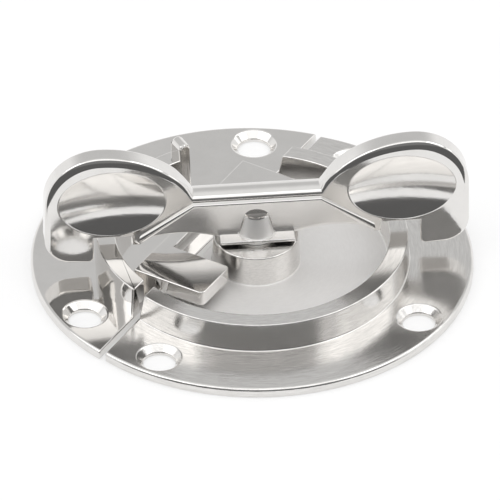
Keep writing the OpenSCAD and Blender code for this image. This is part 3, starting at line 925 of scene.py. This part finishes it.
def add_floor():
    bm = bmesh.new()
    bmesh.ops.create_circle(bm, cap_ends=True, segments=96, radius=FLOOR_R)
    mesh = bpy.data.meshes.new("floor")
    bm.to_mesh(mesh)
    bm.free()
    floor = bpy.data.objects.new("floor", mesh)
    floor.location.z = -FLOOR_DROP
    material = bpy.data.materials.new("white floor")
    material.use_nodes = True
    f = Finish(material.node_tree)
    path = f.node("ShaderNodeLightPath")
    # The camera, glossy and transmission rays see the floor's glow
    seen = path[0] + path[3] + path[6]
    paper = f.node("ShaderNodeBsdfDiffuse", None, (0.5, 0.5, 0.5, 1))[0]
    glow = f.node("ShaderNodeEmission", None, (1, 1, 1, 1), seen * FLOOR_GLOW)[0]
    both = f.node("ShaderNodeAddShader", None, paper, glow)[0]
    f.node("ShaderNodeOutputMaterial", None, both)
    mesh.materials.append(material)
    bpy.context.scene.collection.objects.link(floor)


def add_room():
    """A pale backdrop near the floor, dimmer walls above it and a brighter ceiling."""
    world = bpy.data.worlds.new("room")
    world.use_nodes = True
    f = Finish(world.node_tree)
    height = f.axes(f.node("ShaderNodeTexCoord")[0])[2]
    level = f.between(height, WALLS_BEGIN, WALLS_FULL, BACKDROP, WALLS)
    level = level + f.between(height, CEILING_BEGIN, CEILING_FULL, 0.0, CEILING_LIFT)
    f.node("ShaderNodeOutputWorld", None, f.node("ShaderNodeBackground", None, (1, 1, 1, 1), level)[0])
    bpy.context.scene.world = world


def add_lamp(name, azimuth, elevation, distance, width, height, radiance):
    """A soft lamp that faces the part from a direction in degrees."""
    data = bpy.data.lights.new(name, "AREA")
    data.shape = "RECTANGLE"
    data.size, data.size_y = width, height
    data.energy = radiance * math.pi * width * height
    lamp = bpy.data.objects.new(name, data)
    lamp.location = toward(math.radians(azimuth), math.radians(elevation)) * distance
    lamp.rotation_mode = "QUATERNION"
    lamp.rotation_quaternion = lamp.location.to_track_quat("Z", "Y")
    bpy.context.scene.collection.objects.link(lamp)


def add_flag(name, profile, azimuths, tone, top_tone):
    """A dark cloth bent from (radius, height) points round the front, that only reflections show."""
    first, last = azimuths
    steps = 48
    turns = [math.radians(first + (last - first) * i / steps) for i in range(steps + 1)]
    points = [toward(a, 0.0) * radius + Vector((0, 0, height)) for radius, height in profile for a in turns]
    wide = steps + 1
    faces = []
    for k, i in itertools.product(range(len(profile) - 1), range(steps)):
        near, above = k * wide + i, (k + 1) * wide + i
        faces.append((near, near + 1, above + 1, above))
    mesh = bpy.data.meshes.new(name)
    mesh.from_pydata(points, [], faces)
    flag = bpy.data.objects.new(name, mesh)
    material = bpy.data.materials.new(name)
    material.use_nodes = True
    f = Finish(material.node_tree)
    top = profile[-1][1]
    level = f.between(f.axes(f.place())[2], top - CLOTH_FADE, top, tone, top_tone)
    f.node("ShaderNodeOutputMaterial", None, f.node("ShaderNodeEmission", None, (1, 1, 1, 1), level)[0])
    mesh.materials.append(material)
    flag.visible_camera = flag.visible_diffuse = flag.visible_shadow = False
    bpy.context.scene.collection.objects.link(flag)


add_camera()
add_floor()
add_room()
add_lamp("front softbox", azimuth=36, elevation=63, distance=0.9, width=1.5, height=0.66, radiance=0.6)
add_lamp("left softbox", azimuth=-44, elevation=48, distance=0.8, width=0.76, height=0.4, radiance=1.0)
add_lamp("right softbox", azimuth=124, elevation=48, distance=0.8, width=0.76, height=0.4, radiance=1.0)
add_lamp("left strip", azimuth=-48, elevation=31, distance=0.8, width=0.6, height=0.14, radiance=0.55)
add_lamp("right strip", azimuth=130, elevation=24, distance=0.8, width=0.5, height=0.14, radiance=0.55)
cloth = [(CLOTH_NEAR, CLOTH_Z), (CLOTH_FAR, CLOTH_Z), (CLOTH_FAR, CLOTH_TOP)]
screen = [(CLOTH_FAR, CLOTH_TOP), (CLOTH_FAR, SCREEN_TOP)]
add_flag("dark cloth", cloth, azimuths=(-35, 100), tone=0.12, top_tone=0.17)
add_flag("dark screen", screen, azimuths=(-15, 77), tone=0.22, top_tone=0.5)
bpy.context.scene.view_settings.view_transform = "Standard"
